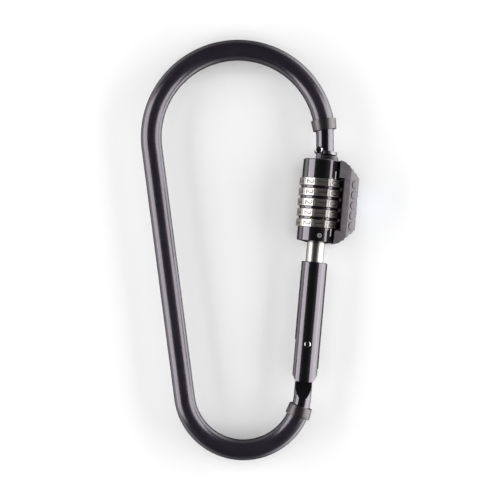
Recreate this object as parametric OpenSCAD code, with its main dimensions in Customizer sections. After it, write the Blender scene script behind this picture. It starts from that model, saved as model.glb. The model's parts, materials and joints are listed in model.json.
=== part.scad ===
// Combination carabiner lock: a bent steel shackle loop closed by a swinging gate,
// with a five-dial code barrel that slides along the gate's spindle.
// The loop lies flat. X runs across the loop, Y along it, and Z up from the surface it lies on.
// The origin is at the middle of the object's footprint. Millimetres and degrees.

/* [Loop] */
// Diameter of the bent steel rod
rod_d = 10; // [8.4:0.1:12]
// Wall of the black sheath over the rod
sheath_wall = 0.9; // [0.6:0.05:1.5]
// Centreline radius of the wide upper bend
top_bend_r = 49.5; // [45:0.5:60]
// Centreline radius of the narrow lower bend
bottom_bend_r = 33.8; // [28:0.1:41]
// Distance between the centres of the two bends
bend_spacing = 144.5; // [138:0.5:175]
// Lean of the loop's own centreline, towards the side away from the gate
loop_lean = 1.2; // [0:0.1:2]
// Length of the straight rod end, from the upper bend to the latch face
nose_drop = 10.1; // [9:0.1:12]

/* [End collars] */
// Outer diameter of a collar at the sheath
collar_d = 14.3; // [13.6:0.1:17.2]
// How much narrower a collar is at its other end
collar_taper = 1; // [0.4:0.1:2]
// Length of a collar
collar_len = 6.2; // [4:0.1:8]
// Place of the upper collar on the upper bend, above its right end
upper_collar_at = 8; // [6:0.5:14]
// Place of the lower collar on the lower bend, below its right end
lower_collar_at = 20; // [18:0.5:28]

/* [Gate] */
// Height of the gate's pivot above the lower bend
pivot_rise = 29.9; // [29:0.1:36]
// Outer diameter of the gate sleeve
sleeve_d = 14.3; // [13.8:0.1:17.2]
// Length of the sleeve below the pivot
sleeve_drop = 21.3; // [18.5:0.1:23]
// Height of the diagonal cuts at the sleeve's lower end
sleeve_cut = 3.7; // [2:0.1:5]
// Diameter of the pivot pin
pivot_pin_d = 3.5; // [3:0.1:4.2]
// Thickness of the flat tongue that the gate turns on
tongue_t = 4.6; // [3.8:0.1:5.5]
// Length of bare spindle between the sleeve and the barrel
shaft_shown = 10.9; // [6:0.1:13]
// Diameter of the spindle
spindle_d = 10; // [9:0.1:10.4]
// How far the gate opens inward
gate_open = 40; // [20:1:40]
// Rise of the hinge cam over the whole swing
cam_rise = 1; // [0.4:0.1:1.2]

/* [Latch] */
// Diameter of the round foot on the rod's end
foot_d = 12; // [10.5:0.1:13]
// Thickness of the foot
foot_t = 2; // [1.6:0.1:2.6]
// Diameter of the latch head's base
head_d = 13; // [11:0.1:13.6]
// Thickness of the latch head's base
head_t = 2.3; // [1.8:0.1:3]
// Diameter of the latch pin
latch_pin_d = 2.2; // [1.8:0.1:2.6]
// Diameter of the latch pin's domed heads
pin_head_d = 3.9; // [3.4:0.1:4.2]

/* [Barrel] */
// Diameter of the barrel's black housings
barrel_d = 22.2; // [21.6:0.1:23]
// Height of the lower housing
lower_cap_h = 8.7; // [7.4:0.1:12]
// Height of the upper housing
upper_cap_h = 10.8; // [10.5:0.1:14]
// Number of code dials
dial_count = 5; // [3:1:6]
// Digits on each dial
digits = 10; // [10]
// Diameter of a dial over its cut corners
dial_d = 24.4; // [23.4:0.1:24.6]
// Height of a dial
dial_h = 4.4; // [3.8:0.1:4.6]
// Height from one dial to the next
dial_pitch = 5.85; // [5.6:0.05:7.05]
// Turn of the dials, so that the first digits stand beside the index marks
dial_turn = 1.3; // [-4:0.1:4]

/* [Bumper cover] */
// Half the thickness of the cover
cover_half = 12.5; // [12.4:0.1:15]
// Reach of the cover from the barrel's centreline
cover_reach = 20.8; // [20:0.1:25.7]
// Place of the cover's near edge from the barrel's centreline
cover_edge = 9.4; // [8.5:0.1:10]
// Width of the cover's long bevels
cover_bevel = 5.1; // [4.2:0.1:6]
// Height of the cover's straight outer face
cover_face_h = 29; // [24:0.5:33]
// Diameter of the round badge
badge_d = 14.8; // [10:0.1:14.8]

/* [Clearances] */
// Radial gap of a piece that turns or slides on another
running_gap = 0.08; // [0.04:0.01:0.1]
// Gap between a dial and what is above and below it
dial_gap = 0.12; // [0.08:0.01:0.2]
// Gap between moving pieces that only pass each other
free_gap = 0.3; // [0.25:0.05:0.5]
// Radial gap of a piece pressed or screwed into another
seat_gap = 0.02; // [0.01:0.01:0.04]

/* [Hidden] */
$fn = 64;
eps = 0.01;
lap = 0.5;
step = 0.05;
past = 1; // how far a cutter runs past the face that it cuts

// Loop: two bends joined by their outer tangents, the left leg and the gate's line
rod_r = rod_d / 2;
sheath_d = rod_d + 2 * sheath_wall;
sheath_r = sheath_d / 2;
taper = asin((top_bend_r - bottom_bend_r) / bend_spacing);
gate_lean = taper - loop_lean;
left_normal = 180 + loop_lean + taper;

// Places before the footprint is centred, with the lower bend's centre as zero
top_c0 = bend_spacing * [-sin(loop_lean), cos(loop_lean)];
gate_dir = [sin(gate_lean), cos(gate_lean)];
gate_out = [cos(gate_lean), -sin(gate_lean)];
pivot0 = bottom_bend_r * gate_out + pivot_rise * gate_dir;
nose0 = top_c0 + [top_bend_r, -nose_drop];

// Heights along the gate, from the pivot
nose_z = (nose0 - pivot0) * gate_dir;
nose_x = (nose0 - pivot0) * gate_out;
head_gap = 2 * free_gap;
head_top = nose_z - head_gap;
head_z = head_top - head_t;
barrel_top = head_z - free_gap;
dial_zone = (dial_count - 1) * dial_pitch + dial_h;
barrel_h = lower_cap_h + dial_zone + upper_cap_h;
barrel_z = barrel_top - barrel_h;
barrel_mid = barrel_z + barrel_h / 2;
dials_z = barrel_z + lower_cap_h;
sleeve_top = barrel_z - shaft_shown;
travel = dial_pitch; // the barrel locks one dial pitch further up

// Footprint
badge_rise = 0.9;
x_left = top_c0.x - top_bend_r - sheath_r;
x_right = (pivot0 + cover_reach * gate_out + (barrel_mid + cover_face_h / 2) * gate_dir).x;
y_top = top_c0.y + top_bend_r + sheath_r;
y_low = -bottom_bend_r - sheath_r;
shift = [-(x_left + x_right) / 2, -(y_top + y_low) / 2];
bottom_c = shift;
top_c = top_c0 + shift;
pivot = pivot0 + shift;
axis_z = cover_half;

// Tongue and hinge
tongue_gap = free_gap;
ramp_top = -(sleeve_drop + 4.7);
ramp_len = 5.8;
cam_r = rod_r - cam_rise;
cam_step = 5;
plunger_r = 3;
plunger_tip_r = 2;
plunger_tip_gap = 0.2;
plunger_len = 9;
plunger_tip_z = cam_r + plunger_tip_gap;
plunger_top = plunger_tip_z + plunger_len;
spindle_foot = plunger_top + 11;
spring_wire = 0.8;

// Spindle, its bar of teeth, and the tube that the dials turn on
spindle_r = spindle_d / 2;
bar_w = 2.4;
bar_depth = 2;
tooth_h = 1;
tooth_r = spindle_r + 2.5;
core_in = spindle_r + running_gap;
core_out = core_in + 1.32;
core_foot = 2;
ring_in = core_out + running_gap;
ring_out = ring_in + 2.5;
corner_cut = 0.27; // how far a dial's sharp corner would stand past its cut
slot_w = bar_w + 2 * free_gap;
slot_r = tooth_r + free_gap;

// Barrel housings
barrel_r = barrel_d / 2;
cone_h = 1.1;
cone_r = 5.5;
rim_edge = 0.45;
head_shift = 2.3;
foot_shift = 1.5;
recess_r = head_shift + head_d / 2 + 0.5;
recess_depth = travel + free_gap;
core_top_z = barrel_top - recess_depth - 1.2;

// Latch
latch_x = -3.3;
pin_rise = 2;
ear_r = pin_head_d / 2 - 0.15;
ear_in = 2.6;
ear_out = 5.2;
ear_side = -0.8;
ear_neck = -4.2;
lip_t = pin_rise - latch_pin_d / 2 - free_gap;
lip_half = ear_in - free_gap;
stud_d = 3;
stud_len = 7;

// Bumper cover
cover_z = barrel_z + 0.1;
cover_h = barrel_h - 0.2;
window_x = dial_d / 2 + free_gap;
window_h = dial_zone + 2.1;
shoulder_x = 9.6;
corner_start = 12.2;
corner_drop = 0.9;
stud_pad_d = 4.2;
stud_pad_rise = 0.5;
rib_r = 0.9;
rib_out = 0.45;
rib_count = 3;
screw_d = 1.8;
screw_head_d = 3.2;
screw_from_end = 6.8;

// Small pieces
index_angle = 41;
index_w = 0.9;
index_depth = 0.3;
index_len = 4.4;
index_gap = 0.15;
reset_angle = 5.2;
reset_rise = 4.2;
reset_d = 2.6;
reset_len = 2.6;
ball_d = 2.2;

black = [0.05, 0.05, 0.06];
soft_black = [0.2, 0.19, 0.2];
nickel = [0.78, 0.77, 0.74];
steel = [0.62, 0.63, 0.65];

// ---- placing ------------------------------------------------------------------------

// Gate space: Z up the gate from the pivot, X towards the outside of the loop, -Y upward
module on_gate()
    translate([pivot.x, pivot.y, axis_z]) rotate([0, 0, -gate_lean]) rotate([-90, 0, 0]) children();

// A place on a bend, with Z along the bend in the direction of a growing angle
module on_bend(centre, r, angle)
    translate([centre.x + r * cos(angle), centre.y + r * sin(angle), axis_z])
        rotate([0, 0, angle]) rotate([-90, 0, 0]) children();

// Stands children on the barrel's wall, with Z outward, at an angle from the front
module on_wall(angle, z) translate([0, 0, z]) rotate([0, 0, angle - 90]) rotate([0, 90, 0]) children();

// ---- basic shapes -------------------------------------------------------------------

module bend(centre, r, from, to, d)
    translate([centre.x, centre.y, axis_z]) rotate([0, 0, from])
        rotate_extrude(angle = to - from, $fn = 180) translate([r, 0]) circle(d = d, $fn = 48);

// A straight stretch laps into its neighbours and is a hair thinner, so their surfaces never coincide
module bar_between(p, q, d)
    translate([p.x, p.y, axis_z]) rotate([0, 0, atan2(q.y - p.y, q.x - p.x)]) rotate([0, 90, 0])
        translate([0, 0, -lap]) cylinder(d = d - 2 * step, h = norm(q - p) + 2 * lap, $fn = 48);

module ring(r_out, r_in, z, h) difference() {
    translate([0, 0, z]) cylinder(r = r_out, h = h);
    translate([0, 0, z - past]) cylinder(r = r_in, h = h + 2 * past);
}

module block(x, y, z) translate([x[0], y[0], z[0]]) cube([x[1] - x[0], y[1] - y[0], z[1] - z[0]]);

// Points of one ring of wire at a turn of a coil
function wire_ring(coil_r, wire_r, angle, z, sides) = [
    for (k = [0 : sides - 1]) let (a = 360 * k / sides, r = coil_r + wire_r * cos(a))
        [r * cos(angle), r * sin(angle), z + wire_r * sin(a)]
];

module coil_spring(coil_d, wire, len, turns) {
    sides = 8;
    per_turn = 20;
    rings = turns * per_turn;
    coil_r = (coil_d - wire) / 2;
    points = [
        for (i = [0 : rings])
            each wire_ring(coil_r, wire / 2, 360 * i / per_turn, wire / 2 + (len - wire) * i / rings, sides)
    ];
    walls = [
        for (i = [0 : rings - 1]) for (k = [0 : sides - 1]) let (n = (k + 1) % sides)
            [i * sides + k, i * sides + n, (i + 1) * sides + n, (i + 1) * sides + k]
    ];
    first_cap = [for (k = [sides - 1 : -1 : 0]) k];
    last_cap = [for (k = [0 : sides - 1]) rings * sides + k];
    polyhedron(points = points, faces = concat(walls, [first_cap, last_cap]));
}

// ---- shackle ------------------------------------------------------------------------

module loop_path(d, top_from, bottom_to) {
    bend(top_c, top_bend_r, top_from, left_normal, d);
    leg_dir = [cos(left_normal), sin(left_normal)];
    bar_between(top_c + top_bend_r * leg_dir, bottom_c + bottom_bend_r * leg_dir, d);
    bend(bottom_c, bottom_bend_r, left_normal, bottom_to, d);
}

// Outline of the tongue's end: a spiral cam, so the plunger rises evenly as the gate swings
function cam_radius(angle) = min(rod_r, cam_r + cam_rise * abs(angle - 90) / gate_open);

module cam_outline()
    polygon([for (a = [0 : cam_step : 180]) cam_radius(a) * [cos(a), sin(a)]]);

module ramp_cutter() {
    run = past * ramp_len / (rod_r - tongue_t / 2);
    outline = [
        [tongue_t / 2, rod_d], [tongue_t / 2, ramp_top],
        [rod_r + past, ramp_top - ramp_len - run], [rod_d, ramp_top - ramp_len - run], [rod_d, rod_d]
    ];
    for (side = [0, 1]) mirror([0, side, 0])
        translate([-rod_d, 0, 0]) rotate([90, 0, 90]) linear_extrude(2 * rod_d) polygon(outline);
}

module shackle_rod() color(black) difference() {
    union() {
        loop_path(rod_d, 0, 360 - gate_lean);
        bar_between(top_c + [top_bend_r, 0], top_c + [top_bend_r, -nose_drop - past], rod_d);
        on_gate() translate([0, 0, -pivot_rise - lap])
            cylinder(r = rod_r - step, h = pivot_rise + lap, $fn = 48);
        on_gate() rotate([90, 0, 0]) linear_extrude(tongue_t, center = true) cam_outline();
    }
    on_gate() {
        ramp_cutter();
        rotate([90, 0, 0]) cylinder(d = pivot_pin_d + 2 * running_gap, h = rod_d, center = true);
        // The end is cut square to the gate, and stepped for the latch head's ears
        block([-rod_d, rod_d + nose_x], [-rod_d, rod_d], [nose_z - 2 * past, nose_z + foot_t]);
        block([-2 * rod_d, ear_side + free_gap], [-rod_d, rod_d],
              [nose_z - past, nose_z + pin_rise + ear_r + free_gap]);
        translate([foot_shift, 0, nose_z])
            cylinder(d = stud_d + 2 * seat_gap, h = foot_t + stud_len + seat_gap);
    }
}

module shackle_sheath() color(black) difference() {
    loop_path(sheath_d, upper_collar_at, 360 - lower_collar_at);
    loop_path(rod_d + 2 * seat_gap, upper_collar_at - 2, 360 - lower_collar_at + 2);
}

// A tapered collar around the sheath's end, with Z from its narrow end to its wide end
module collar_body() {
    wide = collar_d / 2;
    narrow = wide - collar_taper / 2;
    half = collar_len / 2;
    edge = 0.4;
    rotate_extrude($fn = 72) polygon([
        [0, -half], [narrow - edge, -half], [narrow, -half + edge],
        [wide, half - edge], [wide - edge, half], [0, half]
    ]);
}

module upper_collar() color(soft_black) difference() {
    on_bend(top_c, top_bend_r, upper_collar_at) collar_body();
    bend(top_c, top_bend_r, -10, 30, rod_d + 2 * seat_gap);
    bend(top_c, top_bend_r, upper_collar_at, 30, sheath_d + 2 * seat_gap);
}

module lower_collar() color(soft_black) difference() {
    on_bend(bottom_c, bottom_bend_r, -lower_collar_at) mirror([0, 0, 1]) collar_body();
    bend(bottom_c, bottom_bend_r, -45, 0, rod_d + 2 * seat_gap);
    bend(bottom_c, bottom_bend_r, -45, -lower_collar_at, sheath_d + 2 * seat_gap);
}

// The rod's foot: a round flange, with a lip that the latch pin bears on
module nose_foot() color(steel) on_gate() {
    difference() {
        translate([foot_shift, 0, nose_z]) cylinder(d = foot_d, h = foot_t);
        for (side = [-1, 1])
            block([-foot_d, ear_side + free_gap], side > 0 ? [lip_half, foot_d] : [-foot_d, -lip_half],
                  [nose_z - past, nose_z + foot_t + past]);
        block([-foot_d, ear_side + free_gap], [-foot_d, foot_d], [nose_z + lip_t, nose_z + foot_t + past]);
    }
    translate([foot_shift, 0, nose_z + foot_t - eps]) cylinder(d = stud_d, h = stud_len + eps);
}

// ---- gate ---------------------------------------------------------------------------

module gate_sleeve() color(black) on_gate() difference() {
    r = sleeve_d / 2;
    pocket_r = rod_r + tongue_gap;
    slot_half = tongue_t / 2 + tongue_gap;
    edge = 0.3;
    relief_h = rod_r * sin(gate_open) - sqrt(pow(pocket_r, 2) - pow(rod_r, 2)) * cos(gate_open) + free_gap;
    union() {
        translate([0, 0, -sleeve_drop]) cylinder(r = r, h = sleeve_drop + sleeve_top - edge);
        translate([0, 0, sleeve_top - edge]) cylinder(r1 = r, r2 = r - edge, h = edge);
        // The raised strip along the outer side
        block([r - 1, r + 0.3], [-1.4, 1.4], [-sleeve_drop + 7.5, sleeve_top - 0.6]);
    }
    // Fork: open towards the inside of the loop and below, closed on the outside
    block([-sleeve_d, pocket_r], [-slot_half, slot_half], [-sleeve_drop - past, 0]);
    block([-sleeve_d, 0], [-slot_half, slot_half], [-past, relief_h]);
    rotate([90, 0, 0]) cylinder(r = pocket_r, h = 2 * slot_half, center = true);
    // Plunger and spring bore, then the spindle's bore
    cylinder(r = plunger_r + running_gap, h = spindle_foot + past);
    translate([0, 0, spindle_foot]) cylinder(r = spindle_r + seat_gap, h = sleeve_top);
    rotate([90, 0, 0]) cylinder(d = pivot_pin_d + 2 * seat_gap, h = 2 * sleeve_d, center = true);
    translate([0, -r + 0.5, 0]) rotate([90, 0, 0]) cylinder(d = pivot_pin_d + 1.4, h = sleeve_d);
    spindle_pin_hole(seat_gap);
    // Diagonal cuts at the lower end
    for (side = [0, 1]) mirror([side, 0, 0]) translate([0, sleeve_d, 0]) rotate([90, 0, 0])
        linear_extrude(2 * sleeve_d) polygon([
            [rod_r, -sleeve_drop - eps], [r + 1, -sleeve_drop + sleeve_cut * (r + 1 - rod_r) / (r - rod_r)],
            [r + 1, -sleeve_drop - past], [rod_r, -sleeve_drop - past]
        ]);
}

module spindle_pin_hole(gap)
    translate([0, 0, spindle_foot + 8]) rotate([0, 90, 0])
        cylinder(d = 2.5 + 2 * gap, h = sleeve_d + 2, center = true);

module pivot_pin() color(nickel) on_gate() {
    r = pivot_pin_d / 2;
    dome = 0.5;
    dome_r = (r * r + dome * dome) / (2 * dome);
    len = sleeve_d - 0.6;
    translate([0, len / 2, 0]) rotate([90, 0, 0]) cylinder(r = r, h = len);
    translate([0, -len / 2, 0]) rotate([90, 0, 0]) intersection() {
        translate([0, 0, dome - dome_r]) sphere(r = dome_r);
        translate([0, 0, -eps]) cylinder(r = r, h = 2);
    }
}

module hinge_plunger() color(steel) on_gate() {
    translate([0, 0, plunger_tip_z + plunger_tip_r]) sphere(r = plunger_tip_r);
    translate([0, 0, plunger_tip_z + plunger_tip_r]) cylinder(r = plunger_tip_r, h = 1.5);
    translate([0, 0, plunger_tip_z + plunger_tip_r + 1])
        cylinder(r = plunger_r, h = plunger_len - plunger_tip_r - 1);
}

module plunger_spring() color(steel) on_gate()
    translate([0, 0, plunger_top + eps])
        coil_spring(2 * plunger_r - 0.4, spring_wire, spindle_foot - plunger_top - 2 * eps, 6);

module spindle() color(nickel) on_gate() difference() {
    translate([0, 0, spindle_foot]) cylinder(r = spindle_r, h = head_z - spindle_foot);
    bar_block(seat_gap, seat_gap);
    translate([0, 0, head_z - stud_len - seat_gap]) cylinder(d = stud_d + 2 * seat_gap, h = stud_len + past);
    spindle_pin_hole(seat_gap);
}

module spindle_pin() color(steel) on_gate()
    translate([0, 0, spindle_foot + 8]) rotate([0, 90, 0]) cylinder(d = 2.5, h = sleeve_d - 0.4, center = true);

// The bar lies in a groove along the spindle's underside
module bar_block(side_gap, end_gap)
    block([-bar_w / 2 - side_gap, bar_w / 2 + side_gap], [spindle_r - bar_depth - end_gap, spindle_r + past],
          [dials_z - 3 - end_gap, dials_z + dial_zone + 3 + end_gap]);

module toothed_bar() color(steel) on_gate() intersection() {
    union() {
        bar_block(0, 0);
        for (i = [0 : dial_count - 1])
            translate([-bar_w / 2, spindle_r - bar_depth, dials_z + i * dial_pitch + tooth_middle()])
                translate([0, 0, -tooth_h / 2]) cube([bar_w, bar_depth + 4, tooth_h]);
    }
    // Rounded to the spindle between the teeth, and to the tooth radius at them
    union() {
        cylinder(r = spindle_r, h = barrel_top);
        for (i = [0 : dial_count - 1])
            translate([0, 0, dials_z + i * dial_pitch + tooth_middle() - tooth_h / 2])
                cylinder(r = tooth_r, h = tooth_h);
    }
}

// Each tooth rests in the middle of the gap above its dial
function tooth_middle() = (dial_h + dial_pitch) / 2;

module latch_head() color(black) on_gate() difference() {
    union() {
        translate([head_shift, 0, head_z]) cylinder(d1 = head_d, d2 = head_d - 1.6, h = head_t);
        intersection() {
            translate([0, 0, head_z]) cylinder(r = ear_out, h = head_t);
            block([ear_neck, head_d], [-head_d, head_d], [head_z - past, head_top + past]);
        }
        translate([0, 0, head_z - stud_len]) cylinder(d = stud_d, h = stud_len + eps);
        intersection() {
            translate([0, 0, head_z]) cylinder(r = ear_out, h = 3 * head_t + pin_rise + ear_r);
            for (side = [0, 1]) mirror([0, side, 0]) {
                block([ear_neck, ear_side], [ear_in, ear_out], [head_z, nose_z + pin_rise]);
                translate([latch_x, ear_out, nose_z + pin_rise]) rotate([90, 0, 0])
                    cylinder(r = ear_r, h = ear_out - ear_in);
            }
        }
    }
    translate([latch_x, 0, nose_z + pin_rise]) rotate([90, 0, 0])
        cylinder(d = latch_pin_d + 2 * seat_gap, h = 3 * ear_out, center = true);
}

module latch_pin() color(nickel) on_gate() translate([latch_x, 0, nose_z + pin_rise]) {
    r = pin_head_d / 2;
    half = ear_out + seat_gap;
    dome = 0.6;
    dome_r = (r * r + dome * dome) / (2 * dome);
    rotate([90, 0, 0]) cylinder(d = latch_pin_d, h = 2 * half + eps, center = true);
    for (side = [0, 1]) mirror([0, side, 0]) translate([0, -half, 0]) rotate([90, 0, 0]) intersection() {
        translate([0, 0, dome - dome_r]) sphere(r = dome_r);
        cylinder(r = r, h = 2);
    }
}

// ---- barrel -------------------------------------------------------------------------

// The channel that the teeth pass through
module tooth_slot(from, to) block([-slot_w / 2, slot_w / 2], [0, slot_r], [from, to]);

module index_mark(z, grow)
    intersection() {
        ring(barrel_r + 0.03 + grow, barrel_r - index_depth - grow, z - grow, index_len + 2 * grow);
        rotate([0, 0, index_angle]) block([-index_w / 2 - grow, index_w / 2 + grow],
                                          [-barrel_r - 1, -barrel_r / 2], [z - grow, z + index_len + grow]);
    }

upper_index_z = dials_z + dial_zone + index_gap;
lower_index_z = dials_z - index_len - index_gap;

module upper_housing() color(black) on_gate() difference() {
    z = dials_z + dial_zone;
    union() {
        translate([0, 0, z]) cylinder(r = barrel_r, h = upper_cap_h - rim_edge, $fn = 96);
        translate([0, 0, barrel_top - rim_edge])
            cylinder(r1 = barrel_r, r2 = barrel_r - rim_edge, h = rim_edge, $fn = 96);
    }
    translate([0, 0, barrel_top - recess_depth]) cylinder(r = recess_r, h = recess_depth + past, $fn = 96);
    translate([0, 0, z - past]) cylinder(r = core_in, h = upper_cap_h);
    translate([0, 0, z - past]) cylinder(r = core_out + seat_gap, h = core_top_z - z + past + seat_gap);
    tooth_slot(z - past, barrel_top);
    index_mark(upper_index_z, seat_gap);
    cover_screw_holes();
}

module lower_housing() color(black) on_gate() difference() {
    union() {
        translate([0, 0, barrel_z]) cylinder(r1 = cone_r, r2 = barrel_r, h = cone_h, $fn = 96);
        translate([0, 0, barrel_z + cone_h]) cylinder(r = barrel_r, h = lower_cap_h - cone_h, $fn = 96);
    }
    translate([0, 0, barrel_z - past]) cylinder(r = core_in, h = barrel_h);
    translate([0, 0, barrel_z + core_foot]) cylinder(r = core_out + seat_gap, h = barrel_h);
    tooth_slot(dials_z - (dial_pitch - dial_h + tooth_h) / 2 - free_gap, barrel_top);
    index_mark(lower_index_z, seat_gap);
    on_wall(reset_angle, barrel_z + reset_rise)
        translate([0, 0, barrel_r - reset_len - running_gap])
            cylinder(d = reset_d + 2 * running_gap, h = reset_len + 3);
    on_wall(90, barrel_z + reset_rise) cylinder(d = ball_d + 0.2, h = barrel_d);
    cover_screw_holes();
}

module core_tube() color(steel) on_gate() difference() {
    ring(core_out, core_in, barrel_z + core_foot + eps, core_top_z - barrel_z - core_foot - eps);
    tooth_slot(barrel_z, barrel_top);
    // Flat seat for the detent leaf
    block([-core_out - 1, -core_in - 0.62], [-1.6, 1.6], [dials_z, dials_z + dial_zone]);
    on_wall(90, barrel_z + reset_rise) cylinder(d = ball_d + 0.2, h = barrel_d);
}

module detent_leaf() color(steel) on_gate() {
    leaf_x = -core_in - 0.64;
    bump_r = 0.35;
    block([leaf_x - 0.4, leaf_x], [-1.5, 1.5], [dials_z + 0.3, dials_z + dial_zone - 0.3]);
    for (i = [0 : dial_count - 1])
        translate([-core_out - 0.03 + bump_r, 0, dials_z + i * dial_pitch + dial_h / 2 - 0.6])
            cylinder(r = bump_r, h = 1.2);
}

module spacer(i) color(black) on_gate() difference() {
    ring(barrel_r, core_out + seat_gap, dials_z + (i - 1) * dial_pitch + dial_h + dial_gap,
         dial_pitch - dial_h - 2 * dial_gap, $fn = 96);
    tooth_slot(barrel_z, barrel_top);
}

module dial_ring(i, r_out, r_in, sides, turn) {
    z = dials_z + (i - 1) * dial_pitch + dial_gap;
    h = dial_h - 2 * dial_gap;
    difference() {
        translate([0, 0, z]) rotate([0, 0, dial_turn + 180 / digits - 90 + turn])
            cylinder(r = r_out, h = h, $fn = sides);
        translate([0, 0, z - past]) cylinder(r = r_in, h = h + 2 * past);
    }
}

// Ten flats, with the corners between them cut off
module dial(i) color(nickel) on_gate() intersection() {
    dial_ring(i, dial_d / 2 + corner_cut, ring_out + seat_gap, digits, 0);
    dial_ring(i, dial_d / 2 / cos(180 / digits), ring_out - past, digits, 180 / digits);
}

module code_ring(i) color(steel) on_gate() difference() {
    dial_ring(i, ring_out, ring_in, 96, 0);
    tooth_slot(barrel_z, barrel_top);
}

module reset_screw() color(steel) on_gate() on_wall(reset_angle, barrel_z + reset_rise) difference() {
    translate([0, 0, barrel_r - reset_len]) cylinder(d = reset_d, h = reset_len);
    translate([0, 0, barrel_r - 0.7]) cylinder(d = 1.2, h = 1, $fn = 6);
}

module drag_ball() color(steel) on_gate() on_wall(90, barrel_z + reset_rise)
    translate([0, 0, core_in + ball_d / 2]) sphere(d = ball_d);

module drag_spring() color(steel) on_gate() on_wall(90, barrel_z + reset_rise)
    translate([0, 0, core_in + ball_d + seat_gap])
        coil_spring(ball_d - 0.2, 0.35, barrel_r - core_in - ball_d - 0.05, 5);

module index_marks() color("white") on_gate() {
    index_mark(upper_index_z, 0);
    index_mark(lower_index_z, 0);
}

// ---- bumper cover -------------------------------------------------------------------

module cover_screw_places() for (z = [cover_z + screw_from_end, cover_z + cover_h - screw_from_end])
    translate([0, 0, z]) rotate([0, 90, 0]) children();

screw_tip = recess_r + 0.2;
screw_seat = corner_start + 3.4;

module cover_screw_holes() cover_screw_places()
    translate([0, 0, screw_tip - seat_gap]) cylinder(d = screw_d + 2 * seat_gap, h = barrel_d);

module cover_outline() {
    half = cover_h / 2;
    face = cover_face_h / 2;
    polygon([
        [0, -half], [shoulder_x, -half], [corner_start, -half + corner_drop], [cover_reach, -face],
        [cover_reach, face], [corner_start, half - corner_drop], [shoulder_x, half], [0, half]
    ]);
    // Grip ribs along both slopes
    slope = [cover_reach - corner_start, face - half + corner_drop];
    inward = [slope.y, -slope.x] / norm(slope);
    for (side = [0, 1]) mirror([0, side]) for (i = [1 : rib_count])
        translate([corner_start, half - corner_drop] + slope * i / (rib_count + 1) + inward * (rib_r - rib_out))
            circle(r = rib_r, $fn = 24);
}

module cover_section() polygon([
    [cover_edge, -cover_half], [cover_reach - cover_bevel, -cover_half],
    [cover_reach, -cover_half + cover_bevel], [cover_reach, cover_half - cover_bevel],
    [cover_reach - cover_bevel, cover_half], [cover_edge, cover_half]
]);

module bumper_cover() color(soft_black) on_gate() difference() {
    union() {
        intersection() {
            translate([0, 0, cover_z]) linear_extrude(cover_h) cover_section();
            translate([0, cover_half + past, barrel_mid]) rotate([90, 0, 0])
                linear_extrude(2 * cover_half + 2 * past) cover_outline();
        }
        cover_studs();
    }
    translate([0, 0, cover_z - past]) cylinder(r = barrel_r + seat_gap, h = cover_h + 2 * past, $fn = 96);
    block([0, window_x], [-cover_half - past, cover_half + past],
          [barrel_mid_dials() - window_h / 2, barrel_mid_dials() + window_h / 2]);
    cover_screw_places() {
        cylinder(d = screw_d + 2 * seat_gap, h = barrel_d);
        translate([0, 0, screw_seat - seat_gap]) cylinder(d = screw_head_d + 2 * seat_gap, h = barrel_d);
    }
    translate([cover_reach - 0.8, 0, barrel_mid]) rotate([0, 90, 0])
        cylinder(d = badge_d + 2 * seat_gap, h = 5);
}

function barrel_mid_dials() = dials_z + dial_zone / 2;

// Round pads on both long bevels, one beside each dial
module cover_studs() for (side = [0, 1]) mirror([0, side, 0])
    for (i = [0 : dial_count - 1])
        translate([cover_reach - cover_bevel / 2, -cover_half + cover_bevel / 2,
                   dials_z + i * dial_pitch + dial_h / 2]) rotate([90, 0, 45])
            translate([0, 0, -1]) cylinder(d = stud_pad_d, h = 1 + stud_pad_rise, $fn = 32);

module cover_screws() color(steel) on_gate() cover_screw_places() difference() {
    union() {
        translate([0, 0, screw_tip]) cylinder(d = screw_d, h = screw_seat - screw_tip + eps);
        translate([0, 0, screw_seat]) cylinder(d = screw_head_d, h = 1.2);
    }
    translate([0, 0, screw_seat + 0.5]) cylinder(d = 1.6, h = 1, $fn = 6);
}

module badge() color([0.85, 0.88, 0.95]) on_gate()
        translate([cover_reach - 0.8, 0, barrel_mid]) rotate([0, 90, 0]) {
    r = badge_d / 2;
    dome = badge_rise;
    dome_r = (r * r + dome * dome) / (2 * dome);
    cylinder(r = r, h = 0.8);
    translate([0, 0, 0.8]) intersection() {
        translate([0, 0, dome - dome_r]) sphere(r = dome_r, $fn = 128);
        translate([0, 0, -eps]) cylinder(r = r, h = 2);
    }
}

// ---- nodes --------------------------------------------------------------------------

shackle_rod();
shackle_sheath();
upper_collar();
lower_collar();
nose_foot();
gate_sleeve();
pivot_pin();
hinge_plunger();
plunger_spring();
spindle();
spindle_pin();
toothed_bar();
latch_head();
latch_pin();
upper_housing();
lower_housing();
core_tube();
detent_leaf();
for (i = [1 : dial_count - 1]) spacer(i);
for (i = [1 : dial_count]) dial(i);
for (i = [1 : dial_count]) code_ring(i);
reset_screw();
drag_ball();
drag_spring();
index_marks();
bumper_cover();
cover_screws();
badge();
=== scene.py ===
"""Combination carabiner lock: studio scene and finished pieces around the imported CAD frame.

The pieces are modelled in gate space: millimetres from the gate's pivot, with Z up the gate,
X towards the outside of the loop and -Y towards the viewer. The loop itself is modelled flat.
"""

import json
import logging
import math
from dataclasses import dataclass, field
from enum import Enum
from typing import Callable, Iterable, Optional, Sequence

import bmesh
import bpy
from mathutils import Matrix, Vector


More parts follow.
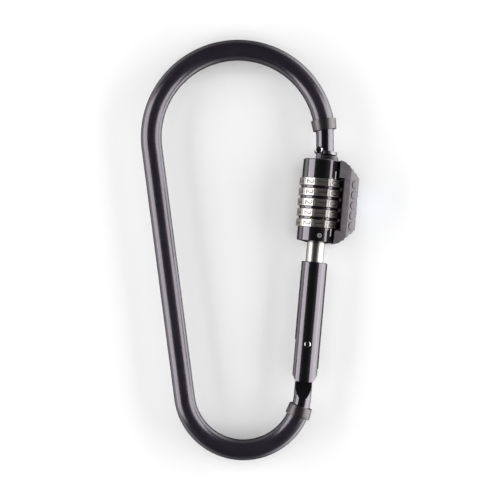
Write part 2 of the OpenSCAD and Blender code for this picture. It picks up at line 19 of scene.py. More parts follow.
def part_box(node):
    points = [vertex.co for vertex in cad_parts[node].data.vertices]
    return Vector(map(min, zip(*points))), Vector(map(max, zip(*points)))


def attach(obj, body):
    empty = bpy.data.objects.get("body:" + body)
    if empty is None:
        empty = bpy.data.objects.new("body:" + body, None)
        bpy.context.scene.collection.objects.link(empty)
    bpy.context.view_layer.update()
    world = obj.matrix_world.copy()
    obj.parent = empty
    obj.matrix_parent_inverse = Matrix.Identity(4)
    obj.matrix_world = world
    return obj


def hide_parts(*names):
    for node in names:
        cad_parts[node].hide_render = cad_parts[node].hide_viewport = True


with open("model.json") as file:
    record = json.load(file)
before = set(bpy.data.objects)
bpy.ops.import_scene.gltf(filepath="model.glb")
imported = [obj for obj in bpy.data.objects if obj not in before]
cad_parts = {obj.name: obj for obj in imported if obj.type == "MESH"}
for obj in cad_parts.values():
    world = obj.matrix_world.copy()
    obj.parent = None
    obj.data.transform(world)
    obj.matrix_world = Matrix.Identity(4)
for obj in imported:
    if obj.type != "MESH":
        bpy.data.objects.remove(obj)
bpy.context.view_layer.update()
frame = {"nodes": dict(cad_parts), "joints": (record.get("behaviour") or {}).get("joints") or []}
MM = 0.001
WELD_MM = 1e-4
COAT_ROUGHNESS = 0.08
BUMP_M = 0.00005
MOTTLE_SPREAD = (0.35, 0.7)
GRAIN_SPREAD = (0.3, 0.7)
MOTTLE_DETAIL, GRAIN_DETAIL = 5.0, 2.0
FLAT_CAP = 0.99
log = logging.getLogger("lock")

Shader = bpy.types.ShaderNodeTree
Colour = tuple[float, float, float]


# ---- finishes -------------------------------------------------------------------------


class Grain(Enum):
    """How a finish's fine bump runs over the piece."""

    EVEN = (1.0, 1.0, 1.0)
    LENGTHWISE = (1.0, 0.04, 1.0)
    TURNED = (0.05, 1.0, 0.05)


@dataclass(frozen=True)
class Finish:
    """A procedural finish: a principled shader with grain, mottling and worn gloss.

    The constant values stand on the shader's own sockets, and the patterns run on object coordinates.
    """

    name: str
    colour: Colour
    worn_colour: Colour
    metallic: float = 0.0
    gloss: tuple[float, float] = (0.18, 0.26)
    ior: float = 1.5
    tint: Colour = (1.0, 1.0, 1.0)
    grain: Grain = Grain.EVEN
    grain_scale: float = 900.0
    grain_depth: float = 0.02
    mottle_scale: float = 60.0
    coat: float = 0.0

    @property
    def label(self) -> str:
        """The material's name, which is never that of one of the frame's own materials."""
        return self.name + "_finish"

    def material(self) -> bpy.types.Material:
        """Builds the node tree, or returns the material if it is already there.

        Returns:
            The Blender material.
        """
        found = bpy.data.materials.get(self.label)
        if found is not None:
            return found
        made = bpy.data.materials.new(self.label)
        made.use_nodes = True
        made.diffuse_color = (*self.colour, 1.0)
        tree = made.node_tree
        shader = tree.nodes["Principled BSDF"]
        shader.inputs["Metallic"].default_value = self.metallic
        shader.inputs["IOR"].default_value = self.ior
        shader.inputs["Specular Tint"].default_value = (*self.tint, 1.0)
        shader.inputs["Coat Weight"].default_value = self.coat
        shader.inputs["Coat Roughness"].default_value = COAT_ROUGHNESS
        self.add_patterns(tree, shader)
        return made

    def add_patterns(self, tree: Shader, shader: bpy.types.Node) -> None:
        """Adds mottled colour, uneven gloss and fine grain.

        Args:
            tree: The material's node tree.
            shader: Its principled shader.
        """
        nodes, link = tree.nodes, tree.links.new
        place = nodes.new("ShaderNodeTexCoord")
        turn = nodes.new("ShaderNodeMapping")
        turn.inputs["Rotation"].default_value = (0.0, 0.0, gate.lean)
        link(place.outputs["Object"], turn.inputs["Vector"])
        stretch = nodes.new("ShaderNodeMapping")
        stretch.inputs["Scale"].default_value = self.grain.value
        link(turn.outputs["Vector"], stretch.inputs["Vector"])

        mottle = nodes.new("ShaderNodeTexNoise")
        mottle.inputs["Scale"].default_value = self.mottle_scale
        mottle.inputs["Detail"].default_value = MOTTLE_DETAIL
        link(turn.outputs["Vector"], mottle.inputs["Vector"])
        blend = nodes.new("ShaderNodeValToRGB")
        colours = (self.colour, self.worn_colour)
        for element, position, colour in zip(blend.color_ramp.elements, MOTTLE_SPREAD, colours):
            element.position = position
            element.color = (*colour, 1.0)
        link(mottle.outputs["Fac"], blend.inputs["Fac"])
        link(blend.outputs["Color"], shader.inputs["Base Color"])

        fine = nodes.new("ShaderNodeTexNoise")
        fine.inputs["Scale"].default_value = self.grain_scale
        fine.inputs["Detail"].default_value = GRAIN_DETAIL
        link(stretch.outputs["Vector"], fine.inputs["Vector"])
        gloss = nodes.new("ShaderNodeMapRange")
        gloss.inputs["From Min"].default_value = GRAIN_SPREAD[0]
        gloss.inputs["From Max"].default_value = GRAIN_SPREAD[1]
        gloss.inputs["To Min"].default_value = self.gloss[0]
        gloss.inputs["To Max"].default_value = self.gloss[1]
        link(fine.outputs["Fac"], gloss.inputs["Value"])
        link(gloss.outputs["Result"], shader.inputs["Roughness"])
        bump = nodes.new("ShaderNodeBump")
        bump.inputs["Strength"].default_value = self.grain_depth
        bump.inputs["Distance"].default_value = BUMP_M
        link(fine.outputs["Fac"], bump.inputs["Height"])
        link(bump.outputs["Normal"], shader.inputs["Normal"])


class Finishes:
    """The lock's finishes, by what they are on."""

    SHEATH = Finish("sheath_vinyl", (0.011, 0.0098, 0.0145), (0.0145, 0.013, 0.018), gloss=(0.2, 0.27),
                    ior=1.9, tint=(0.97, 0.9, 1.0), grain_scale=260, grain_depth=0.05, mottle_scale=35)
    LACQUER = Finish("black_lacquer", (0.003, 0.003, 0.0035), (0.005, 0.0048, 0.0055), gloss=(0.12, 0.18),
                     ior=2.05, tint=(0.97, 0.9, 1.0), grain_scale=420, grain_depth=0.03)
    HOUSING = Finish("black_anodised", (0.003, 0.003, 0.0035), (0.005, 0.0048, 0.0055), gloss=(0.1, 0.15),
                     ior=2.0, tint=(0.97, 0.9, 1.0), grain=Grain.TURNED, grain_scale=900, grain_depth=0.03)
    SLEEVE = Finish("sleeve_black", (0.0035, 0.0032, 0.0038), (0.006, 0.0055, 0.006), gloss=(0.13, 0.19),
                    ior=2.0, tint=(0.98, 0.9, 1.0), grain=Grain.LENGTHWISE, grain_scale=700, grain_depth=0.04)
    MILLED = Finish("blackened_steel", (0.008, 0.0075, 0.008), (0.014, 0.0135, 0.0145), gloss=(0.3, 0.4),
                    ior=1.7, tint=(0.97, 0.9, 1.0), grain_scale=900, grain_depth=0.12)
    FOOT = Finish("worn_steel", (0.2, 0.19, 0.195), (0.12, 0.115, 0.12), metallic=1.0, gloss=(0.25, 0.4),
                  grain_scale=700, grain_depth=0.1, mottle_scale=300)
    RUBBER = Finish("collar_rubber", (0.006, 0.0052, 0.0056), (0.009, 0.008, 0.0085), gloss=(0.29, 0.36),
                    ior=1.85, tint=(1.0, 0.93, 0.95), grain_scale=1300, grain_depth=0.12, mottle_scale=140)
    COVER = Finish("cover_plastic", (0.075, 0.066, 0.073), (0.11, 0.098, 0.106), gloss=(0.42, 0.6),
                   ior=1.6, grain_scale=1500, grain_depth=0.4, mottle_scale=420)
    NICKEL = Finish("spindle_nickel", (0.44, 0.435, 0.41), (0.38, 0.375, 0.35), metallic=1.0,
                    gloss=(0.28, 0.38), grain_scale=2200, grain_depth=0.1)
    DIAL = Finish("dial_nickel", (0.47, 0.445, 0.425), (0.38, 0.36, 0.345), metallic=1.0, gloss=(0.31, 0.42),
                  grain=Grain.TURNED, grain_scale=1600, grain_depth=0.12)
    # black digit print; the same dark finish also paints shade: the bars at the dials' facet edges and the
    # rings round the cover's pads
    INK = Finish("digit_ink_and_shade", (0.004, 0.004, 0.004), (0.007, 0.007, 0.007), gloss=(0.6, 0.7), ior=1.35)
    MARK = Finish("index_paint", (0.95, 0.95, 0.95), (0.92, 0.92, 0.91), gloss=(0.35, 0.5))
    POLISHED = Finish("polished_steel", (0.6, 0.6, 0.6), (0.55, 0.55, 0.56), metallic=1.0,
                      gloss=(0.06, 0.1), grain_depth=0.01)
    STEEL = Finish("plain_steel", (0.36, 0.355, 0.36), (0.3, 0.295, 0.3), metallic=1.0, gloss=(0.28, 0.4))
    ZINC = Finish("zinc_plate", (0.3, 0.3, 0.3), (0.24, 0.24, 0.24), metallic=0.4, gloss=(0.3, 0.4))
    BRASS = Finish("machined_brass", (0.5, 0.38, 0.19), (0.42, 0.31, 0.14), metallic=1.0, gloss=(0.25, 0.35),
                   grain=Grain.TURNED, grain_scale=1400, grain_depth=0.05)
    BADGE = Finish("badge_clear", (0.62, 0.7, 0.88), (0.5, 0.6, 0.85), gloss=(0.04, 0.07), coat=1.0,
                   grain_depth=0.0, mottle_scale=90)
    FLOOR = Finish("pale_floor", (0.92, 0.92, 0.92), (0.94, 0.94, 0.94), gloss=(0.6, 0.7), grain_depth=0.0,
                   mottle_scale=4)


# ---- gate space and mesh helpers ------------------------------------------------------


@dataclass(frozen=True)
class GateSpace:
    """The gate's own millimetre space, taken from the CAD joints."""

    pivot: Vector
    axis: Vector

    @classmethod
    def from_frame(cls) -> "GateSpace":
        """Reads the pivot and the gate's direction from the swing and slide joints."""
        joints = {joint["name"]: joint for joint in frame["joints"]}
        return cls(Vector(joints["gate_swing"]["pos_m"]), Vector(joints["barrel_slide"]["axis"]).normalized())

    @property
    def out(self) -> Vector:
        """The direction across the gate, towards the outside of the loop."""
        return Vector((self.axis.y, -self.axis.x, 0.0))

    @property
    def lean(self) -> float:
        """The gate's lean from +Y, in radians."""
        return math.atan2(self.axis.x, self.axis.y)

    @property
    def matrix(self) -> Matrix:
        """The transform from gate millimetres to the frame's metres."""
        turn = Matrix((self.out, Vector((0.0, 0.0, -1.0)), self.axis)).transposed().to_4x4()
        return Matrix.Translation(self.pivot) @ turn @ Matrix.Scale(MM, 4)

    def span(self, node: str) -> tuple[float, float]:
        """A CAD node's lowest and highest point along the gate, in millimetres.

        Args:
            node: The CAD node's name.

        Returns:
            The two heights.
        """
        vertices = frame["nodes"][node].data.vertices
        heights = [(vertex.co - self.pivot).dot(self.axis) / MM for vertex in vertices]
        return min(heights), max(heights)


gate = GateSpace.from_frame()


def on_wall(angle: float, radius: float, height: float) -> Matrix:
    """A place on an upright round wall, with +Z outward, +Y around it to the right and +X down.

    Args:
        angle: Degrees from the front towards the right.
        radius: Distance from the gate's axis, in millimetres.
        height: Height along the gate, in millimetres.

    Returns:
        The transform in gate space.
    """
    a = math.radians(angle)
    outward = Vector((math.sin(a), -math.cos(a), 0.0))
    around = Vector((math.cos(a), math.sin(a), 0.0))
    turn = Matrix((Vector((0.0, 0.0, -1.0)), around, outward)).transposed().to_4x4()
    return Matrix.Translation(outward * radius + Vector((0.0, 0.0, height))) @ turn


def lathe(bm: bmesh.types.BMesh, profile: Sequence[tuple[float, float]], steps: int = 96,
          closed: bool = True) -> list[bmesh.types.BMVert]:
    """Spins a profile of (radius, height) points round Z.

    Args:
        bm: The mesh to add to.
        profile: The points, from one end of the outline to the other.
        steps: Facets round the turn.
        closed: Joins the last point to the first.

    Returns:
        The new vertices.
    """
    start = [bm.verts.new((radius, 0.0, height)) for radius, height in profile]
    pairs = list(zip(start, start[1:])) + ([(start[-1], start[0])] if closed else [])
    edges = [bm.edges.new(pair) for pair in pairs]
    before = set(bm.verts) - set(start)
    bmesh.ops.spin(bm, geom=start + edges, cent=(0, 0, 0), axis=(0, 0, 1), angle=math.tau, steps=steps,
                   use_merge=True)
    return [vert for vert in bm.verts if vert not in before]


def soften(bm: bmesh.types.BMesh, width: float, segments: int = 2, sharper_than: float = 30.0,
           where: Optional[Callable[[bmesh.types.BMEdge], bool]] = None) -> None:
    """Bevels the mesh's sharp edges.

    Args:
        bm: The mesh.
        width: Bevel offset, in the mesh's own units.
        segments: Steps across the bevel.
        sharper_than: Only edges whose faces meet at more than this, in degrees.
        where: A further test of each edge.
    """
    limit = math.radians(sharper_than)
    edges = [
        edge for edge in bm.edges
        if edge.is_manifold and edge.calc_face_angle(0.0) > limit and (where is None or where(edge))
    ]
    bmesh.ops.bevel(bm, geom=edges, offset=width, offset_type="OFFSET", segments=segments, affect="EDGES",
                    profile=0.5, material=-1, clamp_overlap=True)


def true_round(mesh: bpy.types.Mesh, radii: Sequence[float], tolerance: float = 0.03) -> None:
    """Gives the round walls about the gate's axis the exact normals of a cylinder.

    Args:
        mesh: A finished mesh, in metres.
        radii: The walls' radii, in millimetres.
        tolerance: How far a corner may be from a wall, in millimetres.
    """
    upright, facing = 0.05, 0.96
    local = [gate.matrix.inverted() @ vertex.co for vertex in mesh.vertices]
    turn = gate.matrix.to_3x3().normalized()
    normals = [Vector(corner.vector) for corner in mesh.corner_normals]
    for face in mesh.polygons:
        flat = turn.inverted() @ face.normal
        for loop in face.loop_indices:
            at = local[mesh.loops[loop].vertex_index]
            out = Vector((at.x, at.y, 0.0))
            if any(abs(out.length - radius) < tolerance for radius in radii) and abs(flat.z) < upright:
                if abs(flat.dot(out.normalized())) > facing:
                    normals[loop] = turn @ out.normalized() * math.copysign(1.0, flat.dot(out))
    mesh.normals_split_custom_set(normals)


def finish_piece(bm: bmesh.types.BMesh, name: str, finish: Finish, body: str,
                 place: Optional[Matrix] = None, replaces: Iterable[str] = (),
                 smooth: float = 32.0) -> bpy.types.Object:
    """Turns a bmesh into a dressed piece that rides on a CAD body.

    Args:
        bm: The mesh, which is freed.
        name: The piece's name.
        finish: Its finish.
        body: The CAD body that it moves with.
        place: The transform to the frame's metres; gate space if it is left out.
        replaces: CAD nodes that it stands for.
        smooth: Edges sharper than this, in degrees, stay crisp.

    Returns:
        The new object.
    """
    bmesh.ops.remove_doubles(bm, verts=bm.verts, dist=WELD_MM)
    bmesh.ops.recalc_face_normals(bm, faces=bm.faces)
    bmesh.ops.transform(bm, matrix=gate.matrix if place is None else place, verts=bm.verts)
    mesh = bpy.data.meshes.new(name)
    bm.to_mesh(mesh)
    bm.free()
    mesh.shade_smooth()
    mesh.set_sharp_from_angle(angle=math.radians(smooth))
    mesh.materials.append(finish.material())
    piece = bpy.data.objects.new(name, mesh)
    bpy.context.scene.collection.objects.link(piece)
    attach(piece, body)
    if replaces:
        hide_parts(*replaces)
    log.info("%s: %d faces on %s", name, len(mesh.polygons), body)
    return piece


def dress(node: str, finish: Finish) -> None:
    """Gives a carried-over CAD node its finish.

    Args:
        node: The node's name.
        finish: The finish.
    """
    mesh = frame["nodes"][node].data
    mesh.materials.clear()
    mesh.materials.append(finish.material())
    log.info("%s: dressed in %s", node, finish.name)


def refined(node: str, width: float, segments: int = 2, sharper_than: float = 35.0) -> bmesh.types.BMesh:
    """A copy of a CAD node in gate space, with its flats joined and its edges softened.

    Args:
        node: The CAD node's name.
        width: Bevel offset, in millimetres.
        segments: Steps across the bevel.
        sharper_than: Only edges sharper than this are softened, in degrees.

    Returns:
        The new mesh, in millimetres.
    """
    join, flat_within = 0.002, 0.8
    bm = bmesh.new()
    bm.from_mesh(frame["nodes"][node].data)
    bmesh.ops.transform(bm, matrix=gate.matrix.inverted(), verts=bm.verts)
    bmesh.ops.remove_doubles(bm, verts=bm.verts, dist=join)
    bmesh.ops.dissolve_limit(bm, angle_limit=math.radians(flat_within), verts=bm.verts, edges=bm.edges)
    soften(bm, width, segments, sharper_than)
    return bm


# ---- sub-assemblies -------------------------------------------------------------------


@dataclass
class ShackleLoop:
    """The steel rod, its sheath, the two collars and the foot. Sizes in millimetres."""

    rod_d: float = 10.0
    sheath_d: float = 11.8
    top_bend_r: float = 49.5
    bottom_bend_r: float = 33.8
    pivot_rise: float = 29.9
    upper_collar_at: float = 8.0
    lower_collar_at: float = 20.0
    collar_d: float = 14.3
    collar_taper: float = 1.0
    collar_len: float = 6.2
    foot_edge: float = 0.25
    sheath_fit: float = 0.02
    rod_clear: float = 0.12
    ring_steps: int = 56
    bend_step: float = 1.6
    top_c: Vector = field(init=False)
    bottom_c: Vector = field(init=False)
    height: float = field(init=False)

    def __post_init__(self) -> None:
        """Works out the centres of the two bends from the CAD sheath's box and the gate."""
        low, high = (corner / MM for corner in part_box("shackle_sheath"))
        reach = self.top_bend_r + self.sheath_d / 2
        self.top_c = Vector((low.x + reach, high.y - reach, 0.0))
        pivot = gate.pivot / MM
        self.height = pivot.z
        flat = Vector((pivot.x, pivot.y, 0.0))
        self.bottom_c = flat - self.bottom_bend_r * gate.out - self.pivot_rise * gate.axis

    @property
    def leg_normal(self) -> float:
        """The direction from either bend's centre to the left leg, in degrees."""
        line = self.top_c - self.bottom_c
        taper = math.degrees(math.asin((self.top_bend_r - self.bottom_bend_r) / line.length))
        return math.degrees(math.atan2(line.y, line.x)) + 90.0 + taper

    def build(self) -> None:
        """Builds and dresses the loop's pieces."""
        self.build_sheath()
        self.build_collar("upper_collar", self.top_c, self.top_bend_r, self.upper_collar_at, False)
        self.build_collar("lower_collar", self.bottom_c, self.bottom_bend_r, -self.lower_collar_at, True)
        dress("shackle_rod", Finishes.LACQUER)
        finish_piece(refined("nose_foot", self.foot_edge), "rod_foot", Finishes.FOOT, "shackle",
                     replaces=["nose_foot"])

    def build_sheath(self) -> None:
        """Sweeps the sheath's wall round the upper bend, down the leg and round the lower bend."""
        bm = bmesh.new()
        start, end = self.upper_collar_at, 360.0 - self.lower_collar_at
        ring = []
        for radius in (self.sheath_d / 2, self.rod_d / 2 + self.sheath_fit):
            made = bmesh.ops.create_circle(bm, segments=self.ring_steps, radius=radius)["verts"]
            ring += made
        across = self.place_on_bend(self.top_c, self.top_bend_r, start)
        bmesh.ops.transform(bm, matrix=across, verts=ring)
        first = list(bm.edges)
        top_sweep = self.leg_normal - start
        last = self.spin(bm, ring + first, self.top_c, top_sweep, int(top_sweep / self.bend_step))
        last = self.run_leg(bm, last)
        low_sweep = end - self.leg_normal
        last = self.spin(bm, last, self.bottom_c, low_sweep, int(low_sweep / self.bend_step))
        for loop in (first, [item for item in last if isinstance(item, bmesh.types.BMEdge)]):
            bmesh.ops.bridge_loops(bm, edges=loop)
        place = Matrix.Scale(MM, 4) @ Matrix.Translation((0.0, 0.0, self.height))
        finish_piece(bm, "sheath", Finishes.SHEATH, "shackle", place, ["shackle_sheath"],
                     smooth=60)

    def place_on_bend(self, centre: Vector, radius: float, angle: float) -> Matrix:
        """A place on a bend, with +Z along it in the direction of a growing angle.

        Args:
            centre: The bend's centre.
            radius: Its centreline radius.
            angle: The place on it, in degrees from +X.

        Returns:
            The transform in loop millimetres.
        """
        a = math.radians(angle)
        outward = Vector((math.cos(a), math.sin(a), 0.0))
        along = Vector((-math.sin(a), math.cos(a), 0.0))
        turn = Matrix((outward, Vector((0.0, 0.0, -1.0)), along)).transposed().to_4x4()
        return Matrix.Translation(centre + outward * radius) @ turn

    def spin(self, bm: bmesh.types.BMesh, geom: list, centre: Vector, sweep: float, steps: int) -> list:
        """Sweeps geometry round a bend and returns what it ends on."""
        return bmesh.ops.spin(bm, geom=geom, cent=centre, axis=(0, 0, 1), angle=math.radians(sweep),
                              steps=steps, use_duplicate=False)["geom_last"]

    def run_leg(self, bm: bmesh.types.BMesh, geom: list) -> list:
        """Runs geometry down the straight left leg and returns what it ends on."""
        a = math.radians(self.leg_normal)
        outward = Vector((math.cos(a), math.sin(a), 0.0))
        leg = (self.bottom_c + outward * self.bottom_bend_r) - (self.top_c + outward * self.top_bend_r)
        parts = 12
        for _ in range(parts):
            edges = [item for item in geom if isinstance(item, bmesh.types.BMEdge)]
            geom = bmesh.ops.extrude_edge_only(bm, edges=edges)["geom"]
            verts = [item for item in geom if isinstance(item, bmesh.types.BMVert)]
            new = set(verts)
            bmesh.ops.translate(bm, vec=leg / parts, verts=verts)
            edges = [item for item in geom if isinstance(item, bmesh.types.BMEdge)]
            geom = verts + [edge for edge in edges if all(vert in new for vert in edge.verts)]
        return geom

    def build_collar(self, node: str, centre: Vector, radius: float, angle: float, flip: bool) -> None:
        """Turns one tapered rubber collar, with a rolled edge at each end.

        Args:
            node: The CAD node that it replaces.
            centre: Its bend's centre.
            radius: Its bend's centreline radius.
            angle: Its place on the bend, in degrees.
            flip: True if its wide end faces a falling angle.
        """
        half = self.collar_len / 2
        wide, narrow = self.collar_d / 2, (self.collar_d - self.collar_taper) / 2
        bore_wide, bore_narrow = self.sheath_d / 2 + self.sheath_fit, self.rod_d / 2 + self.rod_clear
        rolled, shoulder, outer_only = 0.35, 0.3, bore_wide + 0.1
        bm = bmesh.new()
        up = -1.0 if flip else 1.0
        lathe(bm, [(r, z * up) for r, z in [
            (bore_narrow, -half), (narrow, -half), (wide, half), (bore_wide, half),
            (bore_wide, shoulder), (bore_narrow, 0.0),
        ]])
        bmesh.ops.recalc_face_normals(bm, faces=bm.faces)
        soften(bm, rolled, 3, 40.0, lambda edge: min(v.co.xy.length for v in edge.verts) > outer_only)
        place = (Matrix.Scale(MM, 4) @ Matrix.Translation((0.0, 0.0, self.height))
                 @ self.place_on_bend(centre, radius, angle))
        finish_piece(bm, node + "_ring", Finishes.RUBBER, "shackle", place, [node])


@dataclass
class SwingGate:
    """The sleeve, pivot pin, spindle and latch head. Sizes in millimetres."""

    pin_d: float = 3.5
    sleeve_d: float = 14.3
    spindle_d: float = 10.0
    latch_shaft_d: float = 2.2
    latch_head_d: float = 3.9
    latch_half: float = 5.22
    latch_x: float = -3.3
    sleeve_edge: float = 0.18
    latch_edge: float = 0.2
    spindle_edge: float = 0.15
    dome: float = 0.55
    pin_sunk: float = 0.3

    def build(self) -> None:
        """Builds and dresses the gate's pieces."""
        tube = finish_piece(refined("gate_sleeve", self.sleeve_edge), "sleeve_tube", Finishes.SLEEVE, "gate",
                            replaces=["gate_sleeve"])
        true_round(tube.data, [self.sleeve_d / 2])
        finish_piece(refined("latch_head", self.latch_edge), "latch_fork", Finishes.MILLED, "gate",
                     replaces=["latch_head"])
        rod = finish_piece(refined("spindle", self.spindle_edge), "spindle_rod", Finishes.NICKEL, "gate",
                           replaces=["spindle"])
        true_round(rod.data, [self.spindle_d / 2])
        for node in ("hinge_plunger", "plunger_spring", "spindle_pin", "toothed_bar"):
            dress(node, Finishes.STEEL)
        self.build_pin("pivot_pin", self.pin_d, self.pin_d, 0.0, self.sleeve_d / 2 - self.pin_sunk)
        self.build_pin("latch_pin", self.latch_shaft_d, self.latch_head_d, self.latch_x, self.latch_half)

    def build_pin(self, node: str, shaft_d: float, head_d: float, x: float, half: float) -> None:
        """Turns a polished pin with a domed head at each end.

        Args:
            node: The CAD node that it replaces.
            shaft_d: The diameter of its shaft.
            head_d: The diameter of its heads.
            x: Its place across the gate.
            half: Half its length, without the domes.
        """
        r, parts = head_d / 2, 10
        low, high = gate.span(node)
        turns = [math.pi / 2 * k / parts for k in range(parts + 1)]
        cap = [(r * math.cos(turn), half + self.dome * math.sin(turn)) for turn in turns]
        cap = ([(shaft_d / 2, half)] if shaft_d < head_d else []) + cap
        profile = [(radius, -height) for radius, height in reversed(cap)] + cap
        bm = bmesh.new()
        lathe(bm, profile, 48, closed=False)
        bmesh.ops.rotate(bm, verts=bm.verts, cent=(0, 0, 0), matrix=Matrix.Rotation(math.pi / 2, 3, "X"))
        bmesh.ops.translate(bm, verts=bm.verts, vec=(x, 0.0, (low + high) / 2))
        finish_piece(bm, node + "_polished", Finishes.POLISHED, "gate", replaces=[node],
                     smooth=50)


@dataclass
class CodeBarrel:
    """Housings, spacers and the small pieces of the code barrel. Sizes in millimetres."""

    barrel_r: float = 11.1
    edge: float = 0.18

    def build(self) -> None:
        """Builds and dresses the barrel's pieces."""
        for node in ("upper_housing", "lower_housing"):
            shell = finish_piece(refined(node, self.edge), node + "_shell", Finishes.HOUSING, "barrel",
                                 replaces=[node])
            true_round(shell.data, [self.barrel_r])
        for node in sorted(name for name in frame["nodes"] if name.startswith("spacer_")):
            dress(node, Finishes.HOUSING)
        dress("core_tube", Finishes.BRASS)
        dress("index_marks", Finishes.MARK)
        dress("cover_screws", Finishes.STEEL)
        for node in ("detent_leaf", "drag_ball", "drag_spring"):
            dress(node, Finishes.STEEL)
        dress("reset_screw", Finishes.ZINC)


@dataclass
class CodeDial:
    """One ten-sided dial with painted digits and painted shade lines at its facet edges, and its brass code
    ring. Sizes in millimetres.
    """

    index: int
    across_cuts: float = 24.4
    corner_cut: float = 0.27
    bore_r: float = 9.02
    digit_h: float = 5.0
    paint: float = 0.1
    proud: float = 0.015
    digit_squeeze: float = 0.9
    digit_thinner: float = 0.09
    digit_in_font: float = 0.73
    frame_line: float = 0.12
    frame_h: float = 3.7
    frame_in: float = 0.75
    bore_clear: float = 0.4
    edge: float = 0.13
    rim_band: float = 0.5
    turn: float = 1.3
    digits: int = 10

    @property
    def corner_r(self) -> float:
        """Distance from the axis to where two facets would meet."""
        return self.across_cuts / 2 + self.corner_cut

    @property
    def facet_r(self) -> float:
        """Distance from the axis to the middle of a facet."""
        return self.corner_r * math.cos(math.pi / self.digits)

    @property
    def frame_at(self) -> float:
        """Distance from a facet's middle to the dark line of painted shade along each of its sides."""
        return self.corner_r * math.sin(math.pi / self.digits) - self.frame_in

    def build(self) -> None:
        """Builds the dial, its painted digits and the painted shade lines along its facets, and dresses its
        code ring.
        """
        node = f"dial_{self.index}"
        low, high = gate.span(node)
        middle = (low + high) / 2
        finish_piece(self.blank(low, high), node + "_wheel", Finishes.DIAL, node,
                     replaces=[node], smooth=14)
        finish_piece(self.digit_solids(middle, self.facet_r - self.paint, self.facet_r + self.proud),
                     node + "_digits_and_shade_lines", Finishes.INK, node, smooth=20)
        dress(f"code_ring_{self.index}", Finishes.BRASS)

    def blank(self, low: float, high: float) -> bmesh.types.BMesh:
        """The ten-sided ring with its corners cut.

        Args:
            low: Its lower face's height.
            high: Its upper face's height.

        Returns:
            The mesh in gate space.
        """
        bm = bmesh.new()
        turned = Matrix.Rotation(math.radians(self.turn + 180.0 / self.digits), 4, "Z")
        place = Matrix.Translation((0.0, 0.0, (low + high) / 2)) @ turned
        bmesh.ops.create_cone(bm, cap_ends=True, segments=self.digits, radius1=self.corner_r,
                              radius2=self.corner_r, depth=high - low, matrix=place)
        half = (high - low) / 2
        upright = [edge for edge in bm.edges if abs(edge.verts[0].co.z - edge.verts[1].co.z) > half]
        width = self.corner_cut / math.sin(math.pi / self.digits)
        bmesh.ops.bevel(bm, geom=upright, offset=width, segments=1, affect="EDGES", profile=0.5, material=-1)
        caps = [face for face in bm.faces if abs(face.normal.z) > FLAT_CAP]
        wall = self.across_cuts / 2 - self.bore_r - self.bore_clear
        bmesh.ops.inset_individual(bm, faces=caps, thickness=wall)
        rims = [edge for face in caps for edge in face.edges]
        bmesh.ops.delete(bm, geom=caps, context="FACES_ONLY")
        bmesh.ops.bridge_loops(bm, edges=rims)
        rim = self.facet_r - self.rim_band
        soften(bm, self.edge, 2, 60.0, lambda edge: min(v.co.xy.length for v in edge.verts) > rim)
        return bm

    def digit_solids(self, height: float, inner: float, outer: float) -> bmesh.types.BMesh:
        """The ten digits as solids, tops to the right, with a dark bar of painted shade at each side of every
        facet, for the shaded edges of the corner strips.

        Args:
            height: The dial's middle height.
            inner: Where the solids start, from the axis.
            outer: Where they end.

        Returns:
            The mesh in gate space.
        """
        bm = bmesh.new()
        for digit in range(self.digits):
            angle = self.turn + 360.0 / self.digits * (1 - digit)
            wall = on_wall(angle, (inner + outer) / 2, height)
            curve = bpy.data.curves.new("digit", "FONT")
            curve.body = str(digit)
            curve.size = self.digit_h / self.digit_in_font
            curve.align_x, curve.align_y = "CENTER", "CENTER"
            curve.offset = -self.digit_thinner
            curve.resolution_u = 3
            curve.extrude = (outer - inner) / 2
            text = bpy.data.objects.new("digit", curve)
            bpy.context.scene.collection.objects.link(text)
            shape = bpy.data.meshes.new_from_object(text.evaluated_get(bpy.context.evaluated_depsgraph_get()))
            before = set(bm.verts)
            bm.from_mesh(shape)
            made = [vert for vert in bm.verts if vert not in before]
            middle = sum((v.co for v in made), Vector()) / len(made)
            squeeze = Matrix.Diagonal((self.digit_squeeze, 1.0, 1.0, 1.0))
            centre = Matrix.Translation((-middle.x, 0.0, 0.0))
            bmesh.ops.transform(bm, matrix=wall @ squeeze @ centre, verts=made)
            # painted shade: thin dark bars along both sides of each facet stand for the shaded edges of the
            # corner strips
            for side in (-1, 1):
                shift = Matrix.Translation((0.0, side * self.frame_at, 0.0))
                bar = Matrix.Diagonal((self.frame_h, self.frame_line, outer - inner, 1.0))
                bmesh.ops.create_cube(bm, size=1.0, matrix=wall @ shift @ bar)
            bpy.data.objects.remove(text)
            bpy.data.curves.remove(curve)
            bpy.data.meshes.remove(shape)
        return bm


